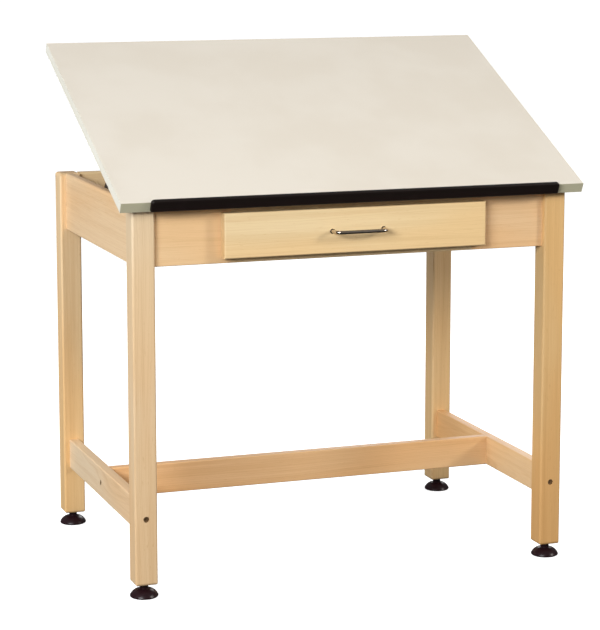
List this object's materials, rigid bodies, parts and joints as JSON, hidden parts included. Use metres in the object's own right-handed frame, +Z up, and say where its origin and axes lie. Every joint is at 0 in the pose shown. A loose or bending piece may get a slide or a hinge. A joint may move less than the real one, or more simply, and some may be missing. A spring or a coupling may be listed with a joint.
{
  "type": "drafting table",
  "caption": "Four-legged wooden drafting table with an H stretcher, an overlay drawer and a hinged, tilting laminate board with a pencil stop.",
  "frame": {"origin": "centre of the bounding box at floor level, between the four leveling glides", "axes": "+X to the right along the board's front edge, +Y from the drawer front towards the rear, +Z up"},
  "size_m": [0.9144, 0.631, 0.9949],
  "materials": {
    "maple": "clear satin lacquer",
    "birch": "clear satin lacquer",
    "particle_core": "raw pressed board",
    "backer_sheet": "matte brown backer",
    "laminate": "suede almond laminate",
    "edge_band": "matte almond edge band",
    "black_vinyl": "semi-matte black extrusion",
    "black_steel": "black oxide",
    "zinc_steel": "bright zinc",
    "satin_nickel": "satin nickel",
    "black_plastic": "moulded black plastic"
  },
  "bodies": {
    "base": {"leg_front_left": "maple", "leg_front_right": "maple", "leg_rear_left": "maple", "leg_rear_right": "maple", "side_apron_left": "maple", "side_apron_right": "maple", "rear_apron": "maple", "front_apron_ends": "maple", "drawer_rails": "maple", "side_rail_left": "maple", "side_rail_right": "maple", "long_stretcher": "maple", "frame_bolts": "black_steel", "barrel_nuts": "zinc_steel", "dowels": "birch", "drawer_runners": "birch", "drawer_kickers": "birch", "runner_screws": "zinc_steel", "hinge_base_leaves": "zinc_steel", "hinge_pins": "zinc_steel", "hinge_base_screws": "zinc_steel", "tilt_tracks": "black_steel", "track_spacers": "zinc_steel", "track_screws": "zinc_steel", "glide_tee_nuts": "zinc_steel"},
    "board": {"board_core": "particle_core", "board_backer": "backer_sheet", "board_laminate": "laminate", "edge_band_front": "edge_band", "edge_bands": "edge_band", "pencil_stop": "black_vinyl", "hinge_board_leaves": "zinc_steel", "hinge_board_screws": "zinc_steel", "stay_brackets": "black_steel", "stay_pivots": "zinc_steel", "bracket_screws": "zinc_steel"},
    "drawer": {"drawer_front": "maple", "drawer_side_left": "birch", "drawer_side_right": "birch", "drawer_subfront": "birch", "drawer_back": "birch", "drawer_bottom": "birch", "drawer_pull": "satin_nickel", "pull_screws": "zinc_steel", "drawer_front_screws": "zinc_steel"},
    "arm_left": {"tilt_arm_left": "black_steel", "clamp_bolt_left": "zinc_steel"},
    "arm_right": {"tilt_arm_right": "black_steel", "clamp_bolt_right": "zinc_steel"},
    "knob_left": {"clamp_knob_left": "black_plastic"},
    "knob_right": {"clamp_knob_right": "black_plastic"},
    "glide_front_left": {"glide_base_front_left": "black_plastic", "glide_stud_front_left": "zinc_steel"},
    "glide_front_right": {"glide_base_front_right": "black_plastic", "glide_stud_front_right": "zinc_steel"},
    "glide_rear_left": {"glide_base_rear_left": "black_plastic", "glide_stud_rear_left": "zinc_steel"},
    "glide_rear_right": {"glide_base_rear_right": "black_plastic", "glide_stud_rear_right": "zinc_steel"}
  },
  "joints": [
    {"name": "board_tilt", "type": "hinge", "parent": "base", "child": "board", "pos_m": [0, -0.2676, 0.729], "axis": [1, 0, 0], "range_deg": [-24.7, 15.3]},
    {"name": "drawer_slide", "type": "slide", "parent": "base", "child": "drawer", "axis": [0, -1, 0], "range_m": [0, 0.33]},
    {"name": "arm_left_swing", "type": "hinge", "parent": "board", "child": "arm_left", "pos_m": [-0.3875, -0.04336, 0.81453], "axis": [1, 0, 0], "range_deg": [-30.8, 49.6]},
    {"name": "knob_left_turn", "type": "hinge", "parent": "arm_left", "child": "knob_left", "pos_m": [-0.385, 0.13811, 0.65746], "axis": [1, 0, 0], "range_deg": [-180, 180]},
    {"name": "arm_right_swing", "type": "hinge", "parent": "board", "child": "arm_right", "pos_m": [0.3875, -0.04336, 0.81453], "axis": [1, 0, 0], "range_deg": [-30.8, 49.6]},
    {"name": "knob_right_turn", "type": "hinge", "parent": "arm_right", "child": "knob_right", "pos_m": [0.385, 0.13811, 0.65746], "axis": [1, 0, 0], "range_deg": [-180, 180]},
    {"name": "glide_front_left_screw", "type": "slide", "parent": "base", "child": "glide_front_left", "axis": [0, 0, -1], "range_m": [-0.002, 0.018]},
    {"name": "glide_front_right_screw", "type": "slide", "parent": "base", "child": "glide_front_right", "axis": [0, 0, -1], "range_m": [-0.002, 0.018]},
    {"name": "glide_rear_left_screw", "type": "slide", "parent": "base", "child": "glide_rear_left", "axis": [0, 0, -1], "range_m": [-0.002, 0.018]},
    {"name": "glide_rear_right_screw", "type": "slide", "parent": "base", "child": "glide_rear_right", "axis": [0, 0, -1], "range_m": [-0.002, 0.018]}
  ],
  "couplings": [
    {"joint": "arm_left_swing", "follows": "board_tilt", "ratio": -2},
    {"joint": "arm_right_swing", "follows": "board_tilt", "ratio": -2}
  ]
}
